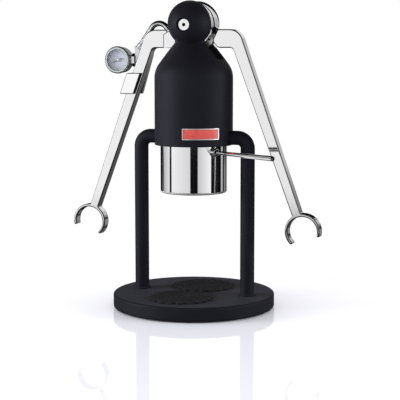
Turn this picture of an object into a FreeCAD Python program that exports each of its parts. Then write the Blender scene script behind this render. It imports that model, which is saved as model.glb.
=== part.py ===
"""Manual lever espresso maker: two long levers on one pivot press a piston down into a basket.

Millimetres, +Z up. The origin is the middle of the base's underside, the front is -Y, and the
levers and legs lie in the XZ plane. The levers are at rest, hanging down on their stop.
"""
import FreeCAD, Part
import os
import re
import math
import Sketcher

V = FreeCAD.Vector

# Two places closer than this, in millimetres, are the same.
SAME = 0.01

# Driving dimensions: lengths in millimetres, angles in degrees.
SIZES = {
    # base
    "base_radius": 82.6,
    "base_thickness": 14.2,
    "base_edge": 2.0,
    "foot_radius": 7.5,
    "foot_thickness": 2.8,
    "foot_sunk": 2.0,
    "foot_inset": 14.6,
    "mat_radius": 30.4,
    "mat_lobe_radius": 3.4,
    "mat_lobe_count": 20.0,
    "mat_thickness": 1.6,
    "mat_spacing": 66.0,
    "mat_centre": -3.5,
    # legs
    "leg_radius": 7.2,
    "leg_inset": 25.0,
    "leg_rise": 7.9,
    "leg_bend": 10.5,
    "leg_socket": 2.0,
    "collar_radius": 8.7,
    "collar_height": 1.4,
    "leg_screw_radius": 3.0,
    "leg_screw_grip": 14.0,
    "leg_screw_head_radius": 5.5,
    "leg_screw_head": 4.0,
    # body
    "body_radius": 39.7,
    "body_bottom": 166.5,
    "body_height": 75.4,
    "shoulder_round": 24.0,
    "neck_radius": 19.6,
    "neck_rise": 27.0,
    "neck_round": 4.0,
    "neck_height": 6.0,
    "mouth_edge": 1.0,
    "pivot_rise": 17.5,
    "dome_rise": 19.1,
    "dome_radius": 22.8,
    "dome_centre": 9.2,
    "slot_half": 11.6,
    "slot_depth": 33.9,
    "body_wall": 3.4,
    "cavity_depth": 32.5,
    "upper_wall": 6.7,
    "upper_cavity_drop": 17.9,
    "web_drop": 3.9,
    "web_cone_radius": 20.0,
    "boss_radius": 13.0,
    "bush_length": 21.0,
    "well_depth": 5.6,
    "well_radius": 10.5,
    "bush_wall": 2.5,
    # locking ring and its lugs
    "ring_seat": 2.5,
    "ring_thickness": 4.2,
    "ring_clearance": 0.5,
    "lug_count": 3.0,
    "lug_reach": 2.2,
    "lug_height": 3.6,
    "lug_half_angle": 12.0,
    "lug_clearance": 0.3,
    "notch_half_angle": 15.0,
    "unlock_turn": 60.0,
    # pivot and levers
    "axle_radius": 4.0,
    "axle_clearance": 0.05,
    "eye_radius": 6.0,
    "eye_gap": 0.9,
    "eye_edge": 0.6,
    "eye_thickness": 3.2,
    "eye_face": 28.0,
    "eye_socket": 1.7,
    "hub_radius": 22.8,
    "hub_bush_radius": 6.0,
    "left_plate_front": 11.0,
    "left_plate_rear": 4.4,
    "right_plate_front": 0.6,
    "right_plate_rear": 5.2,
    "washer_radius": 11.0,
    "side_gap": 0.05,
    "spacer_front": 5.8,
    "arm_thickness": 10.8,
    "arm_edge": 1.2,
    "shoulder_reach": 42.76,
    "arm_top_half": 6.75,
    "arm_tip_half": 4.75,
    "arm_swing": 95.0,
    "shoulder_drop": 4.2,
    "shoulder_depth": 18.4,
    "elbow_round": 14.0,
    "elbow_inner_round": 4.2,
    "root_reach": 22.6,
    "root_corner": 27.6,
    "root_drop": 13.4,
    "root_height": 3.6,
    "root_round": 4.0,
    "root_top_round": 1.5,
    "lap_reach": 28.6,
    "lap_drop": 9.1,
    "claw_reach": 115.9,
    "claw_drop": 203.0,
    "claw_radius": 18.0,
    "claw_bore": 14.95,
    "claw_opening": 114.4,
    "claw_opening_turn": 3.0,
    "claw_root_round": 1.5,
    # crank pins, yoke and piston
    "crank_radius": 16.0,
    "pin_radius": 2.5,
    "pin_play": 0.75,
    "yoke_thickness": 3.2,
    "yoke_side_gap": 0.3,
    "yoke_half_width": 21.5,
    "yoke_lip": 2.55,
    "yoke_stem_half": 5.4,
    "yoke_flare_drop": 32.4,
    "yoke_stem_seat": 10.0,
    "yoke_corner": 4.0,
    "axle_slot_gap": 0.3,
    "rod_radius": 7.0,
    "rod_clearance": 0.05,
    "rod_pin_radius": 2.0,
    "rod_top_gap": 0.8,
    "rod_seat": 5.0,
    "collar_width": 3.0,
    "stop_collar_height": 3.6,
    "seat_gap": 0.1,
    "piston_gap": 0.7,
    "piston_height": 12.4,
    "piston_lift_gap": 0.6,
    "seal_radius": 1.5,
    "seal_inset": 1.0,
    "seal_edge": 2.0,
    "piston_screw_radius": 2.5,
    "piston_screw_head_radius": 5.0,
    "piston_screw_head": 3.0,
    "piston_screw_length": 14.0,
    # portafilter and basket
    "cup_inset": 5.9,
    "cup_wall": 1.9,
    "cup_drop": 48.5,
    "cup_lip": 7.8,
    "cup_floor": 2.8,
    "cup_edge": 2.4,
    "cup_height": 66.2,
    "basket_inset": 4.5,
    "basket_wall": 0.8,
    "basket_rim_inset": 0.6,
    "basket_rim": 1.0,
    "basket_depth": 63.5,
    "basket_corner": 3.0,
    "handle_angle": -32.8,
    "handle_drop": 5.8,
    "handle_boss_radius": 4.4,
    "handle_boss_length": 4.2,
    "handle_seat": 0.8,
    "handle_root_radius": 1.9,
    "handle_tip_radius": 2.6,
    "handle_length": 90.4,
    "screen_gap": 0.4,
    "screen_thickness": 1.2,
    "screen_post_radius": 2.2,
    "screen_post": 9.0,
    # gauge on the left lever
    "gauge_offset": 30.4,
    "gauge_drop": 34.7,
    "gauge_radius": 13.2,
    "gauge_wall": 0.8,
    "gauge_front": 0.9,
    "gauge_depth": 11.6,
    "gauge_back": 3.0,
    "bezel_radius": 14.0,
    "bezel_window": 11.2,
    "bezel_lead": 1.9,
    "bezel_overlap": 1.7,
    "glass_thickness": 1.2,
    "dial_depth": 4.1,
    "dial_thickness": 0.8,
    "movement_radius": 7.0,
    "needle_depth": 2.5,
    "needle_thickness": 0.5,
    "needle_length": 8.2,
    "needle_tail": 4.6,
    "needle_half": 0.55,
    "needle_hub_radius": 1.5,
    "needle_rest": 200.0,
    "spindle_radius": 0.6,
    "line_depth": 8.6,
    "gauge_stem_radius": 3.0,
    "gauge_nut_flats": 12.0,
    "gauge_nut_length": 3.8,
    "clamp_drop": 13.1,
    "clamp_height": 21.4,
    "clamp_outer": 11.0,
    "clamp_inner": 4.2,
    "clamp_thickness": 4.2,
    "bracket_inner_low": 7.4,
    "bracket_inner_high": 4.8,
    "bracket_thickness": 4.2,
    "bracket_rise": 5.3,
    "bracket_crown": 6.0,
    "clamp_screw_radius": 1.5,
    "clamp_screw_head_radius": 2.6,
    "clamp_screw_head": 2.0,
    "elbow_outer": 12.6,
    "elbow_inner": 2.9,
    "elbow_drop": 5.7,
    "elbow_depth": 7.6,
    "elbow_half": 4.6,
    "tube_radius": 2.9,
    "tube_bore": 2.0,
    "tube_arch": 10.0,
    "tube_arch_inset": 2.0,
    "tube_arch_drop": 3.4,
    "tube_slope": 55.0,
    "tube_length": 25.8,
    "tube_nut_radius": 3.5,
    "tube_nut_length": 5.5,
    "port_height": 6.5,
    "port_half": 4.0,
    # badge
    "badge_angle": -59.0,
    "badge_arc": 54.0,
    "badge_rise": 7.3,
    "badge_height": 11.2,
    "badge_frame": 1.1,
    "badge_border": 0.9,
    "badge_plate": 0.7,
}

# Lengths that follow from the driving ones, each written once.
DERIVED = {
    "base_bottom": "foot_thickness - foot_sunk",
    "base_top": "base_bottom + base_thickness",
    "foot_circle": "base_radius - foot_inset",
    "leg_span": "base_radius - leg_inset",
    "leg_arm_height": "body_bottom + leg_rise",
    "body_shoulder": "body_bottom + body_height",
    "neck_base": "body_shoulder + neck_rise",
    "neck_top": "neck_base + neck_height",
    "pivot_height": "neck_base + pivot_rise",
    "dome_height": "neck_base + dome_rise",
    "slot_floor": "pivot_height - slot_depth",
    "cavity_top": "body_bottom + cavity_depth",
    "upper_cavity_top": "body_shoulder - upper_cavity_drop",
    "web_bottom": "body_shoulder - web_drop",
    "ring_top": "body_bottom + ring_thickness",
    "bush_radius": "rod_radius + bush_wall",
    "half_swing": "arm_swing / 2",
    "crank_x": "crank_radius * cos(half_swing)",
    "crank_drop": "crank_radius * sin(half_swing)",
    "crank_z": "pivot_height - crank_drop",
    "stroke": "2 * crank_drop",
    "yoke_front": "left_plate_rear - yoke_side_gap",
    "yoke_rear": "yoke_front - yoke_thickness",
    "slot_half_height": "pin_radius + pin_play",
    "yoke_fork_half": "axle_radius + axle_slot_gap",
    "yoke_fork_floor": "pivot_height - stroke - yoke_fork_half",
    "rod_top": "pivot_height - hub_radius - rod_top_gap - stroke",
    "well_floor": "rod_top - well_depth",
    "boss_bottom": "well_floor - bush_length",
    "collar_bottom": "well_floor + seat_gap",
    "yoke_bottom": "rod_top - yoke_stem_seat",
    "yoke_flare": "pivot_height - yoke_flare_drop",
    "rod_pin_z": "(yoke_bottom + rod_top) / 2",
    "cup_bottom": "body_bottom - cup_drop",
    "cup_top": "cup_bottom + cup_height",
    "cavity_radius": "body_radius - body_wall",
    "upper_cavity_radius": "body_radius - upper_wall",
    "ring_radius": "body_radius - ring_seat",
    "cup_radius": "body_radius - cup_inset",
    "cup_bore": "cup_radius - cup_wall",
    "cup_lip_bore": "cup_radius - cup_lip",
    "basket_bore": "cup_radius - basket_inset",
    "basket_rim_radius": "cup_radius - basket_rim_inset",
    "piston_radius": "basket_bore - piston_gap",
    "handle_boss_reach": "cup_radius + handle_boss_length",
    "handle_reach": "cup_radius + handle_length",
    "basket_top": "cup_top + basket_rim",
    "basket_bottom": "basket_top - basket_depth",
    "basket_floor": "basket_bottom + basket_wall",
    "basket_radius": "basket_bore + basket_wall",
    "piston_bottom": "basket_top + piston_lift_gap - stroke",
    "piston_top": "piston_bottom + piston_height",
    "arm_half": "arm_thickness / 2",
    "lug_bottom": "ring_top + lug_clearance",
    "shoulder_top": "pivot_height - shoulder_drop",
    "shoulder_low": "shoulder_top - shoulder_depth",
    "root_upper": "pivot_height - root_drop",
    "root_lower": "root_upper - root_height",
    "claw_height": "pivot_height - claw_drop",
    "arm_run": "shoulder_top - claw_height",
    "arm_slope": "(claw_reach - shoulder_reach) / arm_run",
    "claw_low": "atan(arm_slope) / 1 deg - claw_opening_turn",
    "claw_tip_round": "(claw_radius - claw_bore) * 0.46",
    "handle_height": "body_bottom - handle_drop",
    "gauge_height": "pivot_height - gauge_drop",
    "gauge_axis": "claw_reach - (gauge_height - claw_height) * arm_slope",
    "gauge_reach": "gauge_axis + gauge_offset",
    "elbow_left": "gauge_axis + elbow_outer",
    "elbow_right": "gauge_axis + elbow_inner",
    "elbow_low": "gauge_height - elbow_drop",
    "bracket_top": "gauge_height + bracket_rise",
    "clamp_top": "gauge_height - clamp_drop",
    "clamp_bottom": "clamp_top - clamp_height",
    "tube_arch_reach": "shoulder_reach - tube_arch_inset",
    "tube_arch_height": "shoulder_top - tube_arch_drop",
    "badge_bottom": "body_bottom + badge_rise",
    "dial_front": "gauge_front + dial_depth",
    "gauge_rear": "gauge_front + gauge_depth",
    "gauge_inner": "gauge_radius - gauge_wall",
}

doc = FreeCAD.newDocument("lever_espresso_maker")
sheet = doc.addObject("Spreadsheet::Sheet", "dims")
for line, (alias, size) in enumerate(SIZES.items(), 1):
    sheet.set("A%d" % line, alias)
    sheet.set("B%d" % line, repr(size))
    sheet.setAlias("B%d" % line, alias)
doc.recompute()

PARTS = []


def bound(text):
    """An expression over the sheet's cells, from one written with the names of the sizes alone."""
    def swap(found):
        word = found.group()
        if word in DERIVED:
            return "(" + bound(DERIVED[word]) + ")"
        return "dims." + word if word in SIZES else word
    return re.sub(r"[a-z][a-z_]*", swap, str(text))


def value(text):
    """The number that an expression gives now."""
    return float(sheet.evalExpression(bound(text)))


def make_body(label):
    """A new body that becomes one file."""
    body = doc.addObject("PartDesign::Body", label)
    body.Label = label
    PARTS.append(body)
    return body


def place(item, x="0", y="0", z="0", axis=(0, 0, 1), angle="0"):
    """Sets an object's placement from expressions."""
    item.Placement = FreeCAD.Placement(V(0, 0, 0), FreeCAD.Rotation(V(*axis), 10))
    item.setExpression("Placement.Base.x", bound(x))
    item.setExpression("Placement.Base.y", bound(y))
    item.setExpression("Placement.Base.z", bound(z))
    item.setExpression("Placement.Rotation.Angle", bound(angle))


def new_sketch(body, plane, away="0", up="0", across="0"):
    """A sketch on one of the body's own planes, moved along its normal, up and across."""
    sketch = body.newObject("Sketcher::SketchObject", body.Name + "_sketch")
    support = [f for f in body.Origin.OriginFeatures if f.Role == plane + "_Plane"][0]
    sketch.AttachmentSupport = [(support, "")]
    sketch.MapMode = "FlatFace"
    sketch.setExpression("AttachmentOffset.Base.z", bound(away))
    sketch.setExpression("AttachmentOffset.Base.y", bound(up))
    sketch.setExpression("AttachmentOffset.Base.x", bound(across))
    return sketch


def tie(sketch, kind, part, point, text):
    """Ties one coordinate of a sketch's point to an expression."""
    if text == "0":
        axis = -2 if kind == "DistanceX" else -1
        sketch.addConstraint(Sketcher.Constraint("PointOnObject", part, point, axis))
        return
    number = sketch.addConstraint(Sketcher.Constraint(kind, -1, 1, part, point, value(text)))
    sketch.setExpression("Constraints[%d]" % number, bound(text))


def outline(body, plane, corners, away="0", up="0", across="0"):
    """A closed sketch of straight lines through corners given as expressions."""
    sketch = new_sketch(body, plane, away, up, across)
    spots = [V(value(a), value(b), 0) for a, b in corners]
    count = len(spots)
    for i in range(count):
        sketch.addGeometry(Part.LineSegment(spots[i], spots[(i + 1) % count]))
    for i in range(count):
        sketch.addConstraint(Sketcher.Constraint("Coincident", i, 2, (i + 1) % count, 1))
    for i, (a, b) in enumerate(corners):
        tie(sketch, "DistanceX", i, 1, a)
        tie(sketch, "DistanceY", i, 1, b)
    return sketch


def rounds(body, plane, circles, away="0", up="0", across="0"):
    """A sketch of circles, each given as centre and radius expressions."""
    sketch = new_sketch(body, plane, away, up, across)
    for i, (a, b, radius) in enumerate(circles):
        centre = V(value(a), value(b), 0)
        sketch.addGeometry(Part.Circle(centre, V(0, 0, 1), value(radius)))
        tie(sketch, "DistanceX", i, 3, a)
        tie(sketch, "DistanceY", i, 3, b)
        number = sketch.addConstraint(Sketcher.Constraint("Radius", i, value(radius)))
        sketch.setExpression("Constraints[%d]" % number, bound(radius))
    return sketch


def hexagon(body, plane, flats, away="0", up="0", across="0"):
    """A six-sided sketch, given by its width across flats."""
    corner = "((%s) / 2 / cos(30))" % flats
    corners = []
    for turn in range(30, 390, 60):
        x = "0" if turn in (90, 270) else "%s * cos(%d)" % (corner, turn)
        corners.append((x, "%s * sin(%d)" % (corner, turn)))
    return outline(body, plane, corners, away, up, across)


def extrude(body, kind, sketch, length, side="ahead"):
    """A pad or a pocket of a sketch: ahead or behind along its normal, or both ways alike."""
    feature = body.newObject("PartDesign::" + kind, body.Name + "_" + kind.lower())
    feature.Profile = sketch
    feature.setExpression("Length", bound(length))
    feature.SideType = "Symmetric" if side == "both" else "One side"
    feature.Reversed = (side == "behind") == (kind == "Pad")
    return feature


def pad(body, sketch, length, side="ahead"):
    return extrude(body, "Pad", sketch, length, side)


def pocket(body, sketch, length, side="ahead"):
    """Cuts a sketch's area out, and checks that it took something away."""
    doc.recompute()
    before = body.Shape.Volume
    feature = extrude(body, "Pocket", sketch, length, side)
    doc.recompute()
    if not body.Shape.Volume < before:
        raise RuntimeError("a pocket in %s cuts nothing" % body.Label)
    return feature


def turned(body, sketch, axis="V_Axis", angle="360", kind="Revolution"):
    """A solid or a groove turned about one of the sketch's own axes."""
    doc.recompute()
    before = body.Shape.Volume if kind == "Groove" else None
    feature = body.newObject("PartDesign::" + kind, body.Name + "_" + kind.lower())
    feature.Profile = sketch
    feature.ReferenceAxis = (sketch, [axis])
    feature.setExpression("Angle", bound(angle))
    if angle != "360":
        feature.Midplane = True
    doc.recompute()
    if kind == "Groove" and not body.Shape.Volume < before:
        raise RuntimeError("a groove in %s cuts nothing" % body.Label)
    return feature


def around(body, feature, sketch, count):
    """Repeats a feature about the normal through its sketch's origin."""
    pattern = body.newObject("PartDesign::PolarPattern", body.Name + "_pattern")
    pattern.Originals = [feature]
    pattern.Axis = (sketch, ["N_Axis"])
    pattern.Angle = 360
    pattern.setExpression("Occurrences", bound(count))
    body.Tip = pattern
    return pattern


def eased(body, radius, chosen, kind="Fillet"):
    """Rounds or chamfers the edges that the test chooses."""
    doc.recompute()
    base = body.Tip
    names = ["Edge%d" % (i + 1) for i, edge in enumerate(base.Shape.Edges) if chosen(edge)]
    if not names:
        raise RuntimeError("no edge to ease in %s" % body.Label)
    feature = body.newObject("PartDesign::" + kind, body.Name + "_" + kind.lower())
    feature.Base = (base, names)
    feature.setExpression("Radius" if kind == "Fillet" else "Size", bound(radius))
    doc.recompute()
    return feature


def ring_edge(radius, height):
    """Chooses the level circular edges of a radius and height."""
    far, high = value(radius), value(height)

    def chosen(edge):
        curve = edge.Curve
        return (isinstance(curve, Part.Circle) and abs(curve.Radius - far) < SAME
                and abs(curve.Center.z - high) < SAME and abs(curve.Axis.z) > 0.99)
    return chosen


def depth_edge(spots):
    """Chooses the edges that run front to back through given X and Z places."""
    spots = [(value(x), value(z)) for x, z in spots]

    def chosen(edge):
        a, b = edge.Vertexes[0].Point, edge.Vertexes[-1].Point
        along = abs(a.x - b.x) < SAME and abs(a.z - b.z) < SAME and abs(a.y - b.y) > SAME
        return along and any(abs(a.x - x) < 2 * SAME and abs(a.z - z) < 2 * SAME for x, z in spots)
    return chosen


def rim_edge(x, z, radius):
    """Chooses the edges that run front to back on the rim of a round seen from the front."""
    x, z, far = value(x), value(z), value(radius)

    def chosen(edge):
        a, b = edge.Vertexes[0].Point, edge.Vertexes[-1].Point
        along = abs(a.x - b.x) < SAME and abs(a.z - b.z) < SAME and abs(a.y - b.y) > SAME
        return along and abs(math.hypot(a.x - x, a.z - z) - far) < SAME
    return chosen


def round_at(edge, axis, place):
    """True for a circular edge whose middle lies at that place along an axis."""
    return isinstance(edge.Curve, Part.Circle) and abs(getattr(edge.Curve.Center, axis) - place) < SAME


def face_edge(depth):
    """Chooses the edges that lie in the two planes that far before and behind the middle."""
    far = value(depth)

    def chosen(edge):
        spots = [vertex.Point.y for vertex in edge.Vertexes]
        return any(all(abs(y - side * far) < SAME for y in spots) for side in (-1, 1))
    return chosen


# Base, feet, mat and legs

def base_plate():
    """Thick round base with foot pockets and counterbored leg screws."""
    body = make_body("base_plate")
    disc = rounds(body, "XY", [("0", "0", "base_radius")], away="base_bottom")
    pad(body, disc, "base_thickness")
    for height in ("base_bottom", "base_top"):
        eased(body, "base_edge", ring_edge("base_radius", height))
    for side in ("leg_span", "-leg_span"):
        hole = rounds(body, "XY", [(side, "0", "leg_screw_radius")], away="base_bottom")
        pocket(body, hole, "base_thickness", "ahead")
        sink = rounds(body, "XY", [(side, "0", "leg_screw_head_radius")], away="base_bottom")
        pocket(body, sink, "leg_screw_head", "ahead")
    spot = "foot_circle * sin(45)"
    sketch = rounds(body, "XY", [(spot, spot, "foot_radius")], away="base_bottom")
    around(body, pocket(body, sketch, "foot_sunk", "ahead"), sketch, "4")


def group(label, pieces):
    """Separate like solids that share one file."""
    item = doc.addObject("Part::Compound", label)
    item.Label = label
    item.Links = pieces
    PARTS.append(item)


def cylinder(name, radius, height, x="0", y="0", z="0", axis=(0, 0, 1), angle="0"):
    item = doc.addObject("Part::Cylinder", name)
    item.setExpression("Radius", bound(radius))
    item.setExpression("Height", bound(height))
    place(item, x, y, z, axis, angle)
    return item


def base_feet():
    """Four rubber feet that stand in the base's pockets."""
    spot = "foot_circle * sin(45)"
    feet = []
    for i, (x, y) in enumerate([("1", "1"), ("-1", "1"), ("-1", "-1"), ("1", "-1")]):
        feet.append(cylinder("foot_%d" % i, "foot_radius", "foot_thickness",
                             x + " * " + spot, y + " * " + spot))
    group("base_feet", feet)


def drip_mat():
    """One rubber mat with two scalloped rounds, one before the other."""
    body = make_body("drip_mat")
    for end in ("mat_centre - mat_spacing / 2", "mat_centre + mat_spacing / 2"):
        disc = rounds(body, "XY", [("0", "0", "mat_radius")], away="base_top", up=end)
        pad(body, disc, "mat_thickness")
        lobe = rounds(body, "XY", [("0", "mat_radius - mat_lobe_radius / 3", "mat_lobe_radius")],
                      away="base_top", up=end)
        around(body, pad(body, lobe, "mat_thickness"), lobe, "mat_lobe_count")


def legs():
    """Two round legs, each bent in at the top to enter the body's side."""
    for label, side in (("leg_left", "-1"), ("leg_right", "1")):
        body = make_body(label)
        axis = side + " * leg_span"
        bend_x = side + " * (leg_span - leg_bend)"
        bend_z = "leg_arm_height - leg_bend"
        end_x = side + " * (body_radius - leg_socket)"
        line = new_sketch(body, "XZ")
        foot = V(value(axis), value("base_top"), 0)
        low = V(value(axis), value(bend_z), 0)
        high = V(value(bend_x), value("leg_arm_height"), 0)
        end = V(value(end_x), value("leg_arm_height"), 0)
        middle = V(value(bend_x), value(bend_z), 0)
        centre = Part.Circle(middle, V(0, 0, 1), value("leg_bend"))
        turn = (0, math.pi / 2) if side == "1" else (math.pi / 2, math.pi)
        line.addGeometry(Part.LineSegment(foot, low))
        line.addGeometry(Part.ArcOfCircle(centre, *turn))
        line.addGeometry(Part.LineSegment(high, end))
        first, last = (1, 2) if side == "1" else (2, 1)
        line.addConstraint(Sketcher.Constraint("Coincident", 0, 2, 1, first))
        line.addConstraint(Sketcher.Constraint("Coincident", 1, last, 2, 1))
        for part, point, x, z in ((0, 1, axis, "base_top"), (0, 2, axis, bend_z),
                                  (2, 1, bend_x, "leg_arm_height"), (2, 2, end_x, "leg_arm_height")):
            tie(line, "DistanceX", part, point, x)
            tie(line, "DistanceY", part, point, z)
        tie(line, "DistanceY", 1, 3, bend_z)
        post = rounds(body, "XY", [(axis, "0", "leg_radius")], away="base_top")
        doc.recompute()
        sweep = body.newObject("PartDesign::AdditivePipe", label + "_sweep")
        sweep.Profile = post
        sweep.Spine = line
        hole = rounds(body, "XY", [(axis, "0", "leg_screw_radius")], away="base_top")
        pocket(body, hole, "leg_screw_grip", "ahead")


def leg_fittings():
    """Thin collars round the legs' feet, and the screws that hold the legs from below."""
    collars = []
    screws = []
    for i, side in enumerate(("-1", "1")):
        x = side + " * leg_span"
        outer = cylinder("collar_outer_%d" % i, "collar_radius", "collar_height", x, z="base_top")
        inner = cylinder("collar_inner_%d" % i, "leg_radius", "collar_height", x, z="base_top")
        cut = doc.addObject("Part::Cut", "collar_%d" % i)
        cut.Base = outer
        cut.Tool = inner
        collars.append(cut)
        shank = cylinder("shank_%d" % i, "leg_screw_radius",
                         "base_thickness - leg_screw_head + leg_screw_grip", x,
                         z="base_bottom + leg_screw_head")
        head = cylinder("head_%d" % i, "leg_screw_head_radius", "leg_screw_head - 0.4", x,
                        z="base_bottom + 0.4")
        screw = doc.addObject("Part::MultiFuse", "leg_screw_%d" % i)
        screw.Shapes = [shank, head]
        screws.append(screw)
    group("leg_collars", collars)
    group("leg_screws", screws)


# Body and what it holds

def body_shell():
    """Bottle-shaped casting: two round cheeks over a slot, a rod boss and an open mouth."""
    body = make_body("body_shell")
    wall = outline(body, "XZ", [("0", "body_bottom"), ("body_radius", "body_bottom"),
                                ("body_radius", "body_shoulder"), ("neck_radius", "neck_base"),
                                ("neck_radius", "neck_top"), ("0", "neck_top")])
    turned(body, wall)
    eased(body, "shoulder_round", ring_edge("body_radius", "body_shoulder"))
    eased(body, "neck_round", ring_edge("neck_radius", "neck_base"))
    eased(body, "mouth_edge", ring_edge("body_radius", "body_bottom"))
    for side in ("-1", "1"):
        ball = body.newObject("PartDesign::AdditiveSphere", "cheek")
        ball.AttachmentSupport = [([f for f in body.Origin.OriginFeatures if f.Role == "XY_Plane"][0], "")]
        ball.MapMode = "FlatFace"
        ball.setExpression("Radius", bound("dome_radius"))
        ball.setExpression("AttachmentOffset.Base.y", bound(side + " * dome_centre"))
        ball.setExpression("AttachmentOffset.Base.z", bound("dome_height"))
    hollow = outline(body, "XZ", [
        ("0", "body_bottom - 1"), ("ring_radius", "body_bottom - 1"), ("ring_radius", "ring_top"),
        ("cavity_radius", "ring_top"), ("cavity_radius", "cavity_top"),
        ("upper_cavity_radius", "cavity_top + cavity_radius - upper_cavity_radius"),
        ("upper_cavity_radius", "upper_cavity_top"), ("web_cone_radius", "web_bottom"),
        ("boss_radius", "web_bottom"), ("boss_radius", "boss_bottom"), ("bush_radius", "boss_bottom"),
        ("bush_radius", "well_floor"), ("well_radius", "well_floor"), ("well_radius", "slot_floor + 1"),
        ("0", "slot_floor + 1")])
    turned(body, hollow, kind="Groove")
    top = "dome_height + dome_radius + 2"
    slot = outline(body, "YZ", [("-slot_half", "slot_floor"), ("slot_half", "slot_floor"),
                                ("slot_half", top), ("-slot_half", top)])
    pocket(body, slot, "3 * body_radius", "both")
    hole = rounds(body, "XZ", [("0", "pivot_height", "axle_radius")])
    pocket(body, hole, "3 * body_radius", "both")
    seat = "eye_face - eye_thickness"
    for away, side in ((seat, "ahead"), ("-(" + seat + ")", "behind")):
        sink = rounds(body, "XZ", [("0", "pivot_height", "eye_radius + eye_gap")], away=away)
        pocket(body, sink, "dome_radius", side)
    bottom = "body_radius - leg_socket"
    for away, side in ((bottom, "ahead"), ("-(" + bottom + ")", "behind")):
        socket = rounds(body, "YZ", [("0", "leg_arm_height", "leg_radius")], away=away)
        pocket(body, socket, "leg_socket + 5", side)


def wedge(body, away, near, far, half, up="0"):
    """A sketch of one radial block about the X axis, between two radii."""
    return outline(body, "XY", [
        (near + " * cos(%s)" % half, "-" + near + " * sin(%s)" % half),
        (far + " * cos(%s)" % half, "-" + far + " * sin(%s)" % half),
        (far, "0"),
        (far + " * cos(%s)" % half, far + " * sin(%s)" % half),
        (near + " * cos(%s)" % half, near + " * sin(%s)" % half)], away=away)


def locking_ring():
    """Ring pressed into the mouth, notched so that the portafilter's lugs can enter."""
    body = make_body("locking_ring")
    bore = "(cup_radius + ring_clearance)"
    wall = outline(body, "XZ", [(bore, "body_bottom"), ("ring_radius", "body_bottom"),
                                ("ring_radius", "ring_top"), (bore, "ring_top")])
    turned(body, wall)
    doc.recompute()
    notch = wedge(body, "body_bottom", "(cup_radius - 2)", "(cup_radius + lug_reach + ring_clearance)",
                  "notch_half_angle")
    around(body, pocket(body, notch, "ring_thickness", "ahead"), notch, "lug_count")
    place(body, angle="handle_angle - unlock_turn")


def rod_bush():
    """Bronze bush that guides the piston rod through the body's web."""
    body = make_body("rod_bush")
    bore = "rod_radius + rod_clearance"
    wall = outline(body, "XZ", [(bore, "boss_bottom"), ("bush_radius", "boss_bottom"),
                                ("bush_radius", "well_floor"), (bore, "well_floor")])
    turned(body, wall)


def pivot_parts():
    """The through bolt, its rear nut, the washers and the spacer that fill the slot."""
    seat = "(eye_face - eye_thickness)"
    body = make_body("pivot_bolt")
    head = rounds(body, "XZ", [("0", "0", "eye_radius")], away=seat)
    pad(body, head, "eye_thickness")
    rim_y = -value("eye_face")
    eased(body, "eye_edge", lambda e: round_at(e, "y", rim_y))
    shaft = rounds(body, "XZ", [("0", "0", "axle_radius")], away=seat)
    pad(body, shaft, "2 * " + seat + " + eye_thickness / 2", "behind")
    key = hexagon(body, "XZ", "2 * eye_socket", away="eye_face")
    pocket(body, key, "eye_thickness * 0.7", "behind")
    place(body, z="pivot_height")

    body = make_body("pivot_nut")
    ring = rounds(body, "XZ", [("0", "0", "eye_radius")], away="-" + seat)
    pad(body, ring, "eye_thickness", "behind")
    eased(body, "eye_edge", lambda e: round_at(e, "y", -rim_y))
    hole = rounds(body, "XZ", [("0", "0", "axle_radius")], away="-" + seat)
    pocket(body, hole, "eye_thickness / 2", "behind")
    key = hexagon(body, "XZ", "2 * eye_socket", away="-eye_face")
    pocket(body, key, "eye_thickness * 0.3", "ahead")
    place(body, z="pivot_height")

    washers = []
    for i, (near, far) in enumerate((("-slot_half", "-left_plate_front - side_gap"),
                                     ("right_plate_rear + side_gap", "spacer_front"))):
        thick = "%s - (%s)" % (far, near)
        outer = cylinder("washer_outer_%d" % i, "washer_radius", thick,
                         "0", far, "pivot_height", (1, 0, 0), "90")
        inner = cylinder("washer_inner_%d" % i, "axle_radius", thick,
                         "0", far, "pivot_height", (1, 0, 0), "90")
        cut = doc.addObject("Part::Cut", "washer_%d" % i)
        cut.Base = outer
        cut.Tool = inner
        washers.append(cut)
    group("thrust_washers", washers)

    body = make_body("rear_spacer")
    disc = rounds(body, "XZ", [("0", "0", "hub_radius"), ("0", "0", "axle_radius")], away="-spacer_front")
    pad(body, disc, "slot_half - spacer_front", "behind")
    place(body, z="pivot_height")


def badge():
    """Curved nameless plate in a thin frame on the body's front."""
    low = "badge_bottom"
    high = "badge_bottom + badge_height"
    edge = "badge_border"
    turn = "badge_border / body_radius * 180 / pi"

    def plate(body, out, inset, angle, kind="Revolution"):
        near = "body_radius" if kind == "Revolution" else "body_radius - 1"
        far = "body_radius + " + out
        sketch = outline(body, "XZ", [(near, low + " + " + inset), (far, low + " + " + inset),
                                      (far, high + " - " + inset), (near, high + " - " + inset)])
        turned(body, sketch, angle=angle, kind=kind)

    body = make_body("badge_frame")
    plate(body, "badge_frame", "0", "badge_arc")
    plate(body, "badge_frame + 1", edge, "badge_arc - 2 * " + turn, "Groove")
    place(body, angle="badge_angle")
    body = make_body("badge_plate")
    plate(body, "badge_plate", edge, "badge_arc - 2 * " + turn)
    place(body, angle="badge_angle")


# Levers

def axis_x(height):
    """How far a lever's middle line lies from the body's axis at a height."""
    return "(claw_reach - (%s - claw_height) * arm_slope)" % height


def half_x(height):
    """Half a lever's level width at a height: it tapers towards the claw."""
    return "(arm_tip_half + (arm_top_half - arm_tip_half) * (%s - claw_height) / arm_run)" % height


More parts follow.
